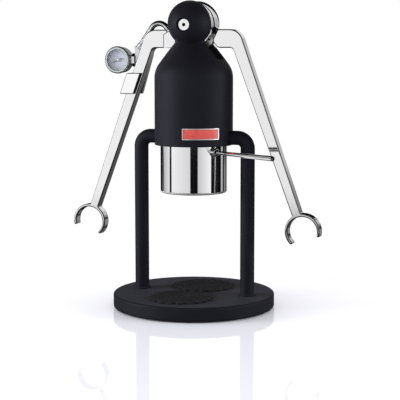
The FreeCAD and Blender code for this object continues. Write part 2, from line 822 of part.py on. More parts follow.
def lever(label, side, front, rear, lap_top):
    """One forged lever: hub plate, shoulder, long tapered bar and open claw."""
    body = make_body(label)

    def at(x):
        return x if x == "0" else side + " * (" + x + ")"

    def order(corners):
        corners = [(at(x), z) for x, z in corners]
        return corners if side == "1" else corners[::-1]

    outer_top = axis_x("shoulder_top") + " + " + half_x("shoulder_top")
    inner_low = axis_x("shoulder_low") + " - " + half_x("shoulder_low")
    bar = outline(body, "XZ", order([
        ("root_corner", "shoulder_low"), (inner_low, "shoulder_low"),
        (axis_x("claw_height") + " - arm_tip_half", "claw_height"),
        (axis_x("claw_height") + " + arm_tip_half", "claw_height"),
        (outer_top, "shoulder_top"), ("root_corner", "shoulder_top"), ("root_reach", "root_upper"),
        ("root_reach", "root_lower")]))
    pad(body, bar, "arm_thickness", "both")
    eased(body, "elbow_round", depth_edge([(at(outer_top), "shoulder_top")]))
    eased(body, "elbow_inner_round", depth_edge([(at(inner_low), "shoulder_low"),
                                                 (at("root_corner"), "shoulder_low")]))
    eased(body, "root_top_round", depth_edge([(at("root_corner"), "shoulder_top")]))
    eased(body, "root_round", depth_edge([(at("root_reach"), "root_upper"),
                                          (at("root_reach"), "root_lower")]))
    ring = rounds(body, "XZ", [(at("claw_reach"), "claw_height", "claw_radius")])
    pad(body, ring, "arm_thickness", "both")
    eased(body, "claw_root_round", rim_edge(at("claw_reach"), "claw_height", "claw_radius"))
    hole = rounds(body, "XZ", [(at("claw_reach"), "claw_height", "claw_bore")])
    pocket(body, hole, "2 * arm_thickness", "both")
    reach = "2 * claw_radius"
    mouth = [("claw_reach", "claw_height")]
    for turn in ("- claw_opening / 2", "", "+ claw_opening / 2"):
        mouth.append(("claw_reach + %s * sin(claw_low %s)" % (reach, turn),
                      "claw_height - %s * cos(claw_low %s)" % (reach, turn)))
    pocket(body, outline(body, "XZ", order(mouth)), "2 * arm_thickness", "both")
    tips = []
    for turn in ("-", "+"):
        for radius in ("claw_radius", "claw_bore"):
            angle = "(claw_low %s claw_opening / 2)" % turn
            tips.append((at("claw_reach + %s * sin%s" % (radius, angle)),
                         "claw_height - %s * cos%s" % (radius, angle)))
    eased(body, "claw_tip_round", depth_edge(tips))
    eased(body, "arm_edge", face_edge("arm_half"))
    hub = rounds(body, "XZ", [("0", "pivot_height", "hub_radius")], away=front)
    pad(body, hub, "(%s) - (%s)" % (front, rear), "behind")
    near_hub = "hub_radius * 0.6"
    web = outline(body, "XZ", order([
        (near_hub, "pivot_height - hub_radius * 0.95"), ("lap_reach", "shoulder_low"),
        ("lap_reach", lap_top), ("hub_radius * 0.94", lap_top + " + 4"), (near_hub, "pivot_height")]),
        away=front)
    pad(body, web, "(%s) - (%s)" % (front, rear), "behind")
    bore = rounds(body, "XZ", [("0", "pivot_height", "hub_bush_radius")])
    pocket(body, bore, "6 * arm_thickness", "both")
    pin = rounds(body, "XZ", [(at("crank_x"), "crank_z", "pin_radius")])
    pocket(body, pin, "6 * arm_thickness", "both")
    return body


def hub_parts(name, side, front, rear, pin_front, pin_rear):
    """A lever's bronze hub bush and the crank pin that drives the yoke."""
    body = make_body(name + "_hub_bush")
    ring = rounds(body, "XZ", [("0", "0", "hub_bush_radius"), ("0", "0", "axle_radius + axle_clearance")],
                  away=front)
    pad(body, ring, "(%s) - (%s)" % (front, rear), "behind")
    place(body, z="pivot_height")
    body = make_body(name + "_crank_pin")
    pin = rounds(body, "XZ", [("0", "0", "pin_radius")], away=pin_front)
    pad(body, pin, "(%s) - (%s)" % (pin_front, pin_rear), "behind")
    place(body, x=side + " * crank_x", z="crank_z")


def levers():
    """Both levers with their bushes and crank pins: the left hub is the front one."""
    lever("left_lever", "-1", "left_plate_front", "left_plate_rear", "pivot_height - lap_drop")
    hub_parts("left", "-1", "left_plate_front", "left_plate_rear",
              "left_plate_front - 0.6", "yoke_rear + 0.1")
    lever("right_lever", "1", "right_plate_front", "-right_plate_rear", "shoulder_top - 0.4")
    hub_parts("right", "1", "right_plate_front", "-right_plate_rear",
              "yoke_front - 0.1", "-right_plate_rear + 0.6")


# Yoke, rod and piston

def yoke():
    """Forked plate in the gap between the hubs: the crank pins slide in its level slots."""
    body = make_body("yoke_plate")
    low = "crank_z - slot_half_height - yoke_lip"
    high = "crank_z + slot_half_height + yoke_lip"
    half = [("yoke_stem_half", "yoke_bottom"), ("yoke_stem_half", "yoke_flare"), ("yoke_half_width", low),
            ("yoke_half_width", high), ("yoke_fork_half", high), ("yoke_fork_half", "yoke_fork_floor")]
    plate = outline(body, "XZ", half + [("-" + x, z) for x, z in half[::-1]], away="yoke_front")
    pad(body, plate, "yoke_thickness", "behind")
    corners = []
    for sign in ("", "-"):
        corners += [(sign + "yoke_half_width", low), (sign + "yoke_half_width", high)]
    eased(body, "yoke_corner", depth_edge(corners))
    inner = "crank_x - pin_radius - 0.4"
    outer = "crank_radius + pin_radius + 0.5"
    for sign in ("", "-"):
        a, b = sign + "(" + inner + ")", sign + "(" + outer + ")"
        z_low, z_high = "crank_z - slot_half_height", "crank_z + slot_half_height"
        slot = outline(body, "XZ", [(a, z_low), (b, z_low), (b, z_high), (a, z_high)], away="yoke_front")
        pocket(body, slot, "yoke_thickness", "behind")
    hole = rounds(body, "XZ", [("0", "rod_pin_z", "rod_pin_radius")], away="yoke_front")
    pocket(body, hole, "yoke_thickness", "behind")


def rod_parts():
    """The rod, the pin that joins it to the yoke, and the collar that stops the stroke."""
    body = make_body("piston_rod")
    seat = "piston_bottom + rod_seat"
    bar = rounds(body, "XY", [("0", "0", "rod_radius")], away=seat)
    pad(body, bar, "rod_top - (" + seat + ")")
    cut = outline(body, "YZ", [("-yoke_front", "yoke_bottom"), ("-yoke_rear", "yoke_bottom"),
                               ("-yoke_rear", "rod_top + 1"), ("-yoke_front", "rod_top + 1")])
    pocket(body, cut, "4 * rod_radius", "both")
    cross = rounds(body, "XZ", [("0", "rod_pin_z", "rod_pin_radius")])
    pocket(body, cross, "4 * rod_radius", "both")
    thread = rounds(body, "XY", [("0", "0", "piston_screw_radius")], away=seat)
    pocket(body, thread, "piston_screw_length", "ahead")

    body = make_body("rod_pin")
    pin = rounds(body, "XZ", [("0", "rod_pin_z", "rod_pin_radius")])
    pad(body, pin, "2 * rod_radius - 3", "both")

    body = make_body("stop_collar")
    ring = rounds(body, "XY", [("0", "0", "rod_radius + collar_width"), ("0", "0", "rod_radius")],
                  away="collar_bottom")
    pad(body, ring, "stop_collar_height")


def piston():
    """Piston with two seal grooves, its seals and the screw that holds it on the rod."""
    groove_floor = "piston_radius - seal_inset - seal_radius"
    gap = "2 * seal_radius + 0.2"
    first = "piston_bottom + seal_edge"
    last = "piston_top - seal_edge"
    body = make_body("piston_head")
    wall = outline(body, "XZ", [
        ("piston_screw_head_radius", "piston_bottom"), ("piston_radius", "piston_bottom"),
        ("piston_radius", first), (groove_floor, first), (groove_floor, first + " + " + gap),
        ("piston_radius", first + " + " + gap), ("piston_radius", last + " - (" + gap + ")"),
        (groove_floor, last + " - (" + gap + ")"), (groove_floor, last), ("piston_radius", last),
        ("piston_radius", "piston_top"), ("rod_radius", "piston_top"),
        ("rod_radius", "piston_bottom + rod_seat"), ("piston_screw_radius", "piston_bottom + rod_seat"),
        ("piston_screw_radius", "piston_bottom + piston_screw_head"),
        ("piston_screw_head_radius", "piston_bottom + piston_screw_head")])
    turned(body, wall)

    seals = []
    for i, height in enumerate((first + " + seal_radius + 0.1", last + " - seal_radius - 0.1")):
        seal = doc.addObject("Part::Torus", "seal_%d" % i)
        seal.setExpression("Radius1", bound(groove_floor + " + seal_radius"))
        seal.setExpression("Radius2", bound("seal_radius"))
        place(seal, z=height)
        seals.append(seal)
    group("piston_seals", seals)

    body = make_body("piston_screw")
    head = rounds(body, "XY", [("0", "0", "piston_screw_head_radius")], away="piston_bottom + 0.3")
    pad(body, head, "piston_screw_head - 0.3")
    shank = rounds(body, "XY", [("0", "0", "piston_screw_radius")], away="piston_bottom + piston_screw_head")
    pad(body, shank, "rod_seat - piston_screw_head + piston_screw_length - 1")


# Portafilter and basket, built with the handle along +X and then turned to its place

def portafilter_cup():
    """Open-bottomed cup with lugs that lock under the ring."""
    body = make_body("portafilter_cup")
    wall = outline(body, "XZ", [
        ("cup_lip_bore", "cup_bottom"), ("cup_radius", "cup_bottom"), ("cup_radius", "cup_top"),
        ("cup_bore", "cup_top"), ("cup_bore", "cup_bottom + cup_floor"),
        ("cup_lip_bore", "cup_bottom + cup_floor")])
    turned(body, wall)
    eased(body, "cup_edge", ring_edge("cup_radius", "cup_bottom"))
    lug = wedge(body, "lug_bottom", "(cup_radius - cup_wall / 2)", "(cup_radius + lug_reach)", "lug_half_angle")
    around(body, pad(body, lug, "lug_height"), lug, "lug_count")
    seat = rounds(body, "YZ", [("0", "handle_height", "handle_boss_radius")], away="cup_radius - handle_seat")
    pocket(body, seat, "handle_seat + 1", "ahead")
    place(body, angle="handle_angle")


def handle():
    """Thin tapered handle rod screwed into a small round boss on the cup."""
    body = make_body("handle_boss")
    disc = rounds(body, "YZ", [("0", "handle_height", "handle_boss_radius")],
                  away="cup_radius - handle_seat")
    pad(body, disc, "handle_boss_reach - (cup_radius - handle_seat)")
    face = value("handle_boss_reach")
    eased(body, "1.2", lambda e: round_at(e, "x", face))
    hole = rounds(body, "YZ", [("0", "handle_height", "handle_root_radius")],
                  away="handle_boss_reach - 3")
    pocket(body, hole, "4", "ahead")
    place(body, angle="handle_angle")

    body = make_body("handle_rod")
    rod = outline(body, "XZ", [
        ("handle_boss_reach - 3", "0"), ("handle_reach", "0"), ("handle_reach", "handle_tip_radius - 0.8"),
        ("handle_reach - 0.8", "handle_tip_radius"), ("handle_boss_reach + 6", "handle_root_radius"),
        ("handle_boss_reach - 3", "handle_root_radius")], up="handle_height")
    turned(body, rod, axis="H_Axis")
    place(body, angle="handle_angle")


def basket_parts():
    """Coffee basket that hangs in the cup by its rim, and the screen that lies in it."""
    body = make_body("coffee_basket")
    wall = outline(body, "XZ", [
        ("0", "basket_bottom"), ("basket_radius", "basket_bottom"), ("basket_radius", "cup_top"),
        ("basket_rim_radius", "cup_top"), ("basket_rim_radius", "basket_top"), ("basket_bore", "basket_top"),
        ("basket_bore", "basket_floor"), ("0", "basket_floor")])
    turned(body, wall)
    eased(body, "basket_corner", ring_edge("basket_radius", "basket_bottom"))
    eased(body, "basket_corner - basket_wall", ring_edge("basket_bore", "basket_floor"))

    body = make_body("shower_screen")
    reach = "basket_bore - basket_corner - screen_gap"
    post_top = "basket_floor + screen_thickness + screen_post"
    wall = outline(body, "XZ", [
        ("0", "basket_floor"), (reach, "basket_floor"), (reach, "basket_floor + screen_thickness"),
        ("screen_post_radius", "basket_floor + screen_thickness"),
        ("screen_post_radius", post_top + " - 2"), ("2 * screen_post_radius", post_top + " - 2"),
        ("2 * screen_post_radius", post_top), ("0", post_top)])
    turned(body, wall)


# Gauge and its line on the left lever

def gauge_turned(label, corners):
    """A gauge piece turned about the gauge's own front-to-back axis, from depth and radius."""
    body = make_body(label)
    turned(body, outline(body, "YZ", corners), axis="H_Axis")
    place(body, x="-gauge_reach", z="gauge_height")
    return body


def gauge():
    """Case, bezel, glass, dial, movement and needle of the pressure gauge."""
    back = "gauge_rear - gauge_back"
    case = gauge_turned("gauge_case", [
        ("gauge_front", "gauge_inner"), ("gauge_front", "gauge_radius"), ("gauge_rear", "gauge_radius"),
        ("gauge_rear", "0"), (back, "0"), (back, "gauge_inner")])
    hole = rounds(case, "YZ", [("line_depth", "0", "gauge_stem_radius")], away="gauge_inner + 0.1")
    pocket(case, hole, "4", "ahead")
    gauge_turned("gauge_bezel", [
        ("gauge_front - bezel_lead", "bezel_window"), ("gauge_front - bezel_lead", "gauge_radius - 0.4"),
        ("gauge_front - bezel_lead + 1.2", "bezel_radius"), ("gauge_front + bezel_overlap", "bezel_radius"),
        ("gauge_front + bezel_overlap", "gauge_radius"), ("gauge_front", "gauge_radius"),
        ("gauge_front", "bezel_window")])
    glass_back = "gauge_front + 0.05 + glass_thickness"
    gauge_turned("gauge_glass", [("gauge_front + 0.05", "0"), (glass_back, "0"), (glass_back, "gauge_inner"),
                                 ("gauge_front + 0.05", "gauge_inner")])
    bore = "spindle_radius + 0.05"
    dial_back = "dial_front + dial_thickness"
    gauge_turned("gauge_dial", [("dial_front", bore), (dial_back, bore), (dial_back, "gauge_inner"),
                                ("dial_front", "gauge_inner")])
    gauge_turned("gauge_movement", [(dial_back, bore), (back, bore), (back, "movement_radius"),
                                    (dial_back, "movement_radius")])
    face = "gauge_front + needle_depth"
    body = gauge_turned("gauge_needle", [
        (face + " - 0.4", "0"), (face + " - 0.4", "needle_hub_radius"),
        (face + " + needle_thickness + 0.3", "needle_hub_radius"),
        (face + " + needle_thickness + 0.3", "spindle_radius"), (back + " - 0.5", "spindle_radius"),
        (back + " - 0.5", "0")])
    blade = outline(body, "XZ", [
        ("-needle_tail", "-needle_half"), ("needle_length * 0.5", "-needle_half"),
        ("needle_length", "-0.15"), ("needle_length", "0.15"), ("needle_length * 0.5", "needle_half"),
        ("-needle_tail", "needle_half")], away="-(" + face + ")")
    pad(body, blade, "needle_thickness", "behind")
    place(body, x="-gauge_reach", z="gauge_height", axis=(0, -1, 0), angle="needle_rest")


def gauge_mount():
    """Clamp on the lever, bracket behind it, screws, stem and nut that carry the gauge."""
    def slanted(body, low, high, outer, inner, away):
        """A slice along the lever between two heights, as far out and in as given."""
        return outline(body, "XZ", [
            ("-(%s + %s)" % (axis_x(low), outer(low)), low), ("-(%s - %s)" % (axis_x(low), inner(low)), low),
            ("-(%s - %s)" % (axis_x(high), inner(high)), high),
            ("-(%s + %s)" % (axis_x(high), outer(high)), high)], away=away)

    def screw_x(height):
        return "-(%s + (clamp_outer + %s) / 2)" % (axis_x(height), half_x(height))

    heights = ("clamp_bottom + 5", "clamp_top - 5")
    heights = ("(%s)" % heights[0], "(%s)" % heights[1])
    body = make_body("gauge_clamp")
    plate = slanted(body, "clamp_bottom", "clamp_top",
                    lambda z: "clamp_outer", lambda z: "clamp_inner", "arm_half")
    pad(body, plate, "clamp_thickness")
    flank = slanted(body, "clamp_bottom", "clamp_top",
                    lambda z: "clamp_outer", lambda z: "-" + half_x(z), "arm_half")
    pad(body, flank, "arm_thickness", "behind")
    for height in heights:
        hole = rounds(body, "XZ", [(screw_x(height), height, "clamp_screw_radius")], away="-arm_half")
        pocket(body, hole, "arm_thickness", "ahead")

    body = make_body("gauge_bracket")
    edge = [("-(%s + clamp_outer)" % axis_x("clamp_bottom"), "clamp_bottom"),
            ("-(%s - bracket_inner_low)" % axis_x("clamp_bottom"), "clamp_bottom"),
            ("-(%s - bracket_inner_high)" % axis_x("bracket_top"), "bracket_top"),
            ("-(%s + bracket_crown)" % axis_x("bracket_top"), "bracket_top"),
            ("-(%s + clamp_outer)" % axis_x("clamp_top"), "clamp_top")]
    pad(body, outline(body, "XZ", edge, away="-arm_half"), "bracket_thickness", "behind")
    across_x = "elbow_half * sin(tube_slope)"
    across_z = "elbow_half * cos(tube_slope)"
    end_x, end_z = tube_end()
    block = outline(body, "XZ", [
        ("-elbow_right", "elbow_low"), ("-elbow_right", end_z + " - " + across_z),
        ("-%s + %s" % (end_x, across_x), end_z + " - " + across_z),
        ("-%s - %s" % (end_x, across_x), end_z + " + " + across_z),
        ("-elbow_left", "gauge_height + gauge_nut_flats * 0.62"), ("-elbow_left", "elbow_low")],
        away="-arm_half")
    pad(body, block, "elbow_depth", "behind")
    for height in heights:
        hole = rounds(body, "XZ", [(screw_x(height), height, "clamp_screw_radius")], away="-arm_half")
        pocket(body, hole, "bracket_thickness", "behind")

    screws = []
    for i, height in enumerate(heights):
        rear = "arm_half + bracket_thickness"
        shank = cylinder("clamp_shank_%d" % i, "clamp_screw_radius", "bracket_thickness + arm_thickness - 1",
                         screw_x(height), rear, height, (1, 0, 0), "90")
        head = cylinder("clamp_head_%d" % i, "clamp_screw_head_radius", "clamp_screw_head",
                        screw_x(height), rear + " + clamp_screw_head", height, (1, 0, 0), "90")
        screw = doc.addObject("Part::MultiFuse", "clamp_screw_%d" % i)
        screw.Shapes = [shank, head]
        screws.append(screw)
    group("clamp_screws", screws)

    case_side = "-(gauge_reach - gauge_inner - 0.1)"
    body = make_body("gauge_stem")
    rod = rounds(body, "YZ", [("line_depth", "gauge_height", "gauge_stem_radius")], away=case_side)
    pad(body, rod, "gauge_reach - gauge_inner - 0.1 - elbow_left")
    body = make_body("gauge_nut")
    nut = hexagon(body, "YZ", "gauge_nut_flats", away="-elbow_left", up="gauge_height", across="line_depth")
    pad(body, nut, "gauge_nut_length", "behind")
    hole = rounds(body, "YZ", [("line_depth", "gauge_height", "gauge_stem_radius")], away="-elbow_left")
    pocket(body, hole, "gauge_nut_length", "behind")


def tube_end():
    """Where the line's straight run meets the bracket: reach from the axis, and height."""
    x = "tube_arch_reach + tube_arch * sin(tube_slope) + tube_length * cos(tube_slope)"
    z = "tube_arch_height + tube_arch * cos(tube_slope) - tube_length * sin(tube_slope)"
    return "(" + x + ")", "(" + z + ")"


def gauge_line():
    """Rigid pipe from the port behind the shoulder, over an arch and down to the bracket."""
    reach, high, arch = value("tube_arch_reach"), value("tube_arch_height"), value("tube_arch")
    slope, depth = math.radians(value("tube_slope")), value("line_depth")
    port_top = value("shoulder_low + port_height")
    nut = value("tube_nut_length")

    def on_arch(turn):
        return V(-reach + arch * math.cos(turn), depth, high + arch * math.sin(turn))

    start = V(-reach + arch, depth, port_top)
    leave = math.pi - (math.pi / 2 - slope)
    end_x, end_z = tube_end()
    end = V(-value(end_x), depth, value(end_z))
    path = Part.Wire([
        Part.LineSegment(start, on_arch(0)).toShape(),
        Part.Arc(on_arch(0), on_arch(leave / 2), on_arch(leave)).toShape(),
        Part.LineSegment(on_arch(leave), end).toShape()])
    up = V(0, 0, 1)
    outer = Part.Wire(Part.Circle(start, up, value("tube_radius")).toShape())
    inner = Part.Wire(Part.Circle(start, up, value("tube_bore")).toShape())
    solid = path.makePipeShell([outer], True, False).cut(path.makePipeShell([inner], True, False))
    pipe = doc.addObject("Part::Feature", "gauge_pipe")
    pipe.Label = "gauge_pipe"
    pipe.Shape = solid
    pipe.Placement = FreeCAD.Placement()
    PARTS.append(pipe)

    back = V(math.cos(slope), 0, math.sin(slope))
    ring = Part.makeCylinder(value("tube_nut_radius"), nut, end, back)
    ring = ring.cut(Part.makeCylinder(value("tube_radius"), nut, end, back))
    item = doc.addObject("Part::Feature", "pipe_nut")
    item.Label = "pipe_nut"
    item.Shape = ring
    item.Placement = FreeCAD.Placement()
    PARTS.append(item)

    body = make_body("pipe_port")
    middle = "(tube_arch_reach - tube_arch)"
    block = outline(body, "XZ", [
        ("-(%s + port_half)" % middle, "shoulder_low"), ("-(%s - port_half)" % middle, "shoulder_low"),
        ("-(%s - port_half)" % middle, "shoulder_low + port_height"),
        ("-(%s + port_half)" % middle, "shoulder_low + port_height")], away="-arm_half")
    pad(body, block, "line_depth + tube_radius + 0.4 - arm_half", "behind")


base_plate()
base_feet()
drip_mat()
legs()
leg_fittings()
body_shell()
locking_ring()
rod_bush()
pivot_parts()
badge()
levers()
yoke()
rod_parts()
piston()
portafilter_cup()
handle()
basket_parts()
gauge()
gauge_mount()
gauge_line()
doc.recompute()

for item in doc.Objects:
    if "Invalid" in item.State or "Error" in item.State:
        raise RuntimeError("%s did not recompute: %s" % (item.Label, item.State))
os.makedirs("parts", exist_ok=True)
for item in PARTS:
    if item.Shape.isNull() or not item.Shape.isValid() or not item.Shape.Solids:
        raise RuntimeError("%s has no valid solid" % item.Label)
for item in PARTS:
    item.Shape.exportStep("parts/%s.step" % item.Label)
print("%d parts written" % len(PARTS))
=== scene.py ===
"""Looks of the manual lever espresso maker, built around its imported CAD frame."""
import math

import bmesh
import bpy
from mathutils import Matrix, Vector


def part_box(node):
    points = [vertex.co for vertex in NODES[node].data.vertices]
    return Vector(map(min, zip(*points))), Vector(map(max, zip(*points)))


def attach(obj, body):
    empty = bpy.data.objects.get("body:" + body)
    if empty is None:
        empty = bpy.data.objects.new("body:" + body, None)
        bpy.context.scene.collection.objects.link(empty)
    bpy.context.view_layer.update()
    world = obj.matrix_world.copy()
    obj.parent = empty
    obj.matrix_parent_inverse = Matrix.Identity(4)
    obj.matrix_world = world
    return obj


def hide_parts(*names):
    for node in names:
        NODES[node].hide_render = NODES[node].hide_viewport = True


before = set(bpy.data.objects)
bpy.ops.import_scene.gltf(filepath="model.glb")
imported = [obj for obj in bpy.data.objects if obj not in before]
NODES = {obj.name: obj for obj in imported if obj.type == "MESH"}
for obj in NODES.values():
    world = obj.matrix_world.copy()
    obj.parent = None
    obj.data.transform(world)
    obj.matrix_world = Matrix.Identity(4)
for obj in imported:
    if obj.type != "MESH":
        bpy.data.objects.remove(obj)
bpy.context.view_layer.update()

MM = 0.001


# Materials

def linear(hex_colour):
    """Turns an sRGB hex value into the linear colour that shaders take."""
    parts = [int(hex_colour[i:i + 2], 16) / 255 for i in (1, 3, 5)]
    return tuple(c / 12.92 if c <= 0.04045 else ((c + 0.055) / 1.055) ** 2.4 for c in parts) + (1.0,)


def add_node(tree, kind, inputs=None, **settings):
    """Adds one shader node with its settings, and sets or links its inputs."""
    node = tree.nodes.new("ShaderNode" + kind)
    for name, setting in settings.items():
        setattr(node, name, setting)
    for name, given in (inputs or {}).items():
        if isinstance(given, bpy.types.NodeSocket):
            tree.links.new(given, node.inputs[name])
        else:
            node.inputs[name].default_value = given
    return node


def start_finish(name, colour, metallic, roughness, **shader):
    """A material with its one shader, whose plain values sit on the shader itself."""
    material = bpy.data.materials.new(name)
    material.use_nodes = True
    tree = material.node_tree
    surface = tree.nodes["Principled BSDF"]
    surface.inputs["Base Color"].default_value = linear(colour)
    surface.inputs["Metallic"].default_value = metallic
    surface.inputs["Roughness"].default_value = roughness
    for socket, given in shader.items():
        plain = linear(given) if isinstance(given, str) else given
        surface.inputs[socket.replace("_", " ")].default_value = plain
    place = add_node(tree, "TexCoord").outputs["Object"]
    return material, tree, surface, place


def millimetres(tree, place, stretch=(1, 1, 1)):
    """The place on the object in millimetres, so that a pattern's scale is one over its real size."""
    scale = [s / MM for s in stretch]
    return add_node(tree, "Mapping", {"Vector": place, "Scale": scale}).outputs["Vector"]


def vary(tree, pattern, low, high):
    """Spreads a pattern's 0 to 1 between two values."""
    return add_node(tree, "MapRange", {"Value": pattern, "From Min": 0.3, "From Max": 0.7,
                                       "To Min": low, "To Max": high}).outputs["Result"]


def tint(tree, pattern, first, second):
    """Blends two hex colours by a pattern."""
    ramp = add_node(tree, "ValToRGB", {"Fac": pattern})
    ramp.color_ramp.elements[0].position = 0.3
    ramp.color_ramp.elements[1].position = 0.7
    ramp.color_ramp.elements[0].color = linear(first)
    ramp.color_ramp.elements[1].color = linear(second)
    return ramp.outputs["Color"]


def raise_grain(tree, surface, pattern, depth_mm, strength=1.0):
    """Bumps the surface by a pattern of that depth."""
    bump = add_node(tree, "Bump", {"Height": pattern, "Distance": depth_mm * MM, "Strength": strength})
    tree.links.new(bump.outputs["Normal"], surface.inputs["Normal"])


def powder_coated_aluminium():
    """Black powder coat baked on cast aluminium: matt blue-black, with a fine pebbled skin.

    Real pebbles are about 0.3 mm wide. They are drawn 0.9 mm wide so that they show.
    """
    material, tree, surface, place = start_finish("powder_coated_aluminium", "#101015", 0.0, 0.6,
                                                  Specular_IOR_Level=0.12, Specular_Tint="#e0e1ff",
                                                  Sheen_Weight=0.04, Sheen_Roughness=0.35,
                                                  Sheen_Tint="#e4e4ff")
    spot = millimetres(tree, place)
    pebbles = add_node(tree, "TexNoise", {"Vector": spot, "Scale": 1 / 0.9, "Detail": 2.0})
    clouds = add_node(tree, "TexNoise", {"Vector": spot, "Scale": 1 / 30, "Detail": 3.0})
    tree.links.new(tint(tree, clouds.outputs["Fac"], "#0e0e13", "#121218"), surface.inputs["Base Color"])
    tree.links.new(vary(tree, clouds.outputs["Fac"], 0.56, 0.64), surface.inputs["Roughness"])
    raise_grain(tree, surface, pebbles.outputs["Fac"], 0.02)
    return material


def polished_stainless(name, colour, roughness, wipe_mm, spread):
    """Stainless steel with faint wipe marks: a mirror where the roughness is low, dull where it is high."""
    material, tree, surface, place = start_finish(name, colour, 1.0, roughness)
    wipes = add_node(tree, "TexNoise", {"Vector": millimetres(tree, place, (1, 1, 0.25)),
                                        "Scale": 1 / wipe_mm, "Detail": 4.0})
    tree.links.new(vary(tree, wipes.outputs["Fac"], roughness, roughness + spread),
                   surface.inputs["Roughness"])
    raise_grain(tree, surface, wipes.outputs["Fac"], 0.004)
    return material


def turned_steel(name, colour, roughness, groove_mm):
    """Steel turned on a lathe: fine rings that spread the light along them."""
    material, tree, surface, place = start_finish(name, colour, 1.0, roughness, Anisotropic=0.4)
    rings = add_node(tree, "TexNoise", {"Vector": millimetres(tree, place, (0.05, 0.05, 1)),
                                        "Scale": 1 / groove_mm, "Detail": 2.0})
    tree.links.new(vary(tree, rings.outputs["Fac"], roughness - 0.06, roughness + 0.08),
                   surface.inputs["Roughness"])
    raise_grain(tree, surface, rings.outputs["Fac"], 0.01)
    return material


def bearing_bronze():
    """Cast bronze, machined: warm, a little dull, mottled by oil."""
    material, tree, surface, place = start_finish("bearing_bronze", "#a87b42", 1.0, 0.34)
    spot = millimetres(tree, place)
    mottle = add_node(tree, "TexNoise", {"Vector": spot, "Scale": 1 / 4, "Detail": 4.0})
    tree.links.new(tint(tree, mottle.outputs["Fac"], "#8f6535", "#b98a4d"), surface.inputs["Base Color"])
    tree.links.new(vary(tree, mottle.outputs["Fac"], 0.28, 0.42), surface.inputs["Roughness"])
    raise_grain(tree, surface, mottle.outputs["Fac"], 0.01)
    return material


def machined_brass():
    """Bright clock brass with milling marks."""
    material, tree, surface, place = start_finish("machined_brass", "#c9a256", 1.0, 0.25)
    marks = add_node(tree, "TexNoise", {"Vector": millimetres(tree, place, (1, 1, 0.1)), "Scale": 1 / 0.5})
    tree.links.new(vary(tree, marks.outputs["Fac"], 0.2, 0.36), surface.inputs["Roughness"])
    raise_grain(tree, surface, marks.outputs["Fac"], 0.01)
    return material


def moulded_rubber(name, colour, lighter, roughness, grit_mm):
    """Moulded rubber: matt, with the mould's spark-eroded grain and a trace of dust."""
    material, tree, surface, place = start_finish(name, colour, 0.0, roughness, Specular_IOR_Level=0.12,
                                                  Sheen_Weight=0.01, Sheen_Roughness=0.4)
    spot = millimetres(tree, place)
    grit = add_node(tree, "TexNoise", {"Vector": spot, "Scale": 1 / grit_mm, "Detail": 3.0})
    dust = add_node(tree, "TexNoise", {"Vector": spot, "Scale": 1 / 12, "Detail": 5.0})
    tree.links.new(tint(tree, dust.outputs["Fac"], colour, lighter), surface.inputs["Base Color"])
    tree.links.new(vary(tree, grit.outputs["Fac"], roughness - 0.08, roughness + 0.08),
                   surface.inputs["Roughness"])
    raise_grain(tree, surface, grit.outputs["Fac"], 0.04)
    return material


def stove_enamel():
    """Red enamel fired on the badge: deep colour under a clear gloss, slightly uneven."""
    material, tree, surface, place = start_finish("stove_enamel", "#b03029", 0.0, 0.3, Coat_Weight=0.6,
                                                  Coat_Roughness=0.06)
    pool = add_node(tree, "TexNoise", {"Vector": millimetres(tree, place), "Scale": 1 / 5, "Detail": 2.0})
    tree.links.new(tint(tree, pool.outputs["Fac"], "#a82a24", "#bb3c34"), surface.inputs["Base Color"])
    raise_grain(tree, surface, pool.outputs["Fac"], 0.02)
    return material


def flat_glass():
    """The gauge's flat cover glass: clear, with only its gloss and a faint smear to see."""
    material, tree, surface, place = start_finish("flat_glass", "#f4f7fa", 0.0, 0.03, IOR=1.5, Alpha=0.06)
    smear = add_node(tree, "TexNoise", {"Vector": millimetres(tree, place), "Scale": 1 / 6, "Detail": 3.0})
    tree.links.new(vary(tree, smear.outputs["Fac"], 0.02, 0.06), surface.inputs["Roughness"])
    raise_grain(tree, surface, smear.outputs["Fac"], 0.002)
    return material


def printed_aluminium(name, colour, second, roughness):
    """Aluminium sheet with a printed coat: even and matt, with the screen's fine tooth."""
    material, tree, surface, place = start_finish(name, colour, 0.0, roughness, Specular_IOR_Level=0.4)
    spot = millimetres(tree, place)
    tooth = add_node(tree, "TexNoise", {"Vector": spot, "Scale": 1 / 0.8, "Detail": 2.0})
    tree.links.new(tint(tree, tooth.outputs["Fac"], colour, second), surface.inputs["Base Color"])
    raise_grain(tree, surface, tooth.outputs["Fac"], 0.005)
    return material


def studio_floor():
    """White sheet acrylic: pale, with a gloss that mirrors the base faintly."""
    material, tree, surface, place = start_finish("sheet_acrylic", "#eeeef0", 0.0, 0.3,
                                                  Specular_IOR_Level=0.0, Coat_Weight=0.85,
                                                  Coat_Roughness=0.02, Coat_Tint="#f9f9ff")
    haze = add_node(tree, "TexNoise", {"Vector": millimetres(tree, place), "Scale": 1 / 80, "Detail": 2.0})
    tree.links.new(vary(tree, haze.outputs["Fac"], 0.25, 0.35), surface.inputs["Roughness"])
    return material


def painted_hollow_shade():
    """Painted shade for the inside of a small hole or key socket: a near-black matt finish that stands for
    the dark where the light barely reaches.
    """
    material, tree, surface, place = start_finish("painted_hollow_shade", "#08080a", 0.0, 0.7,
                                                  Specular_IOR_Level=0.1)
    spot = millimetres(tree, place)
    shade_mottle = add_node(tree, "TexNoise", {"Vector": spot, "Scale": 1 / 0.8, "Detail": 2.0})
    tree.links.new(tint(tree, shade_mottle.outputs["Fac"], "#060608", "#0d0d10"), surface.inputs["Base Color"])
    tree.links.new(vary(tree, shade_mottle.outputs["Fac"], 0.6, 0.8), surface.inputs["Roughness"])
    raise_grain(tree, surface, shade_mottle.outputs["Fac"], 0.01)
    return material


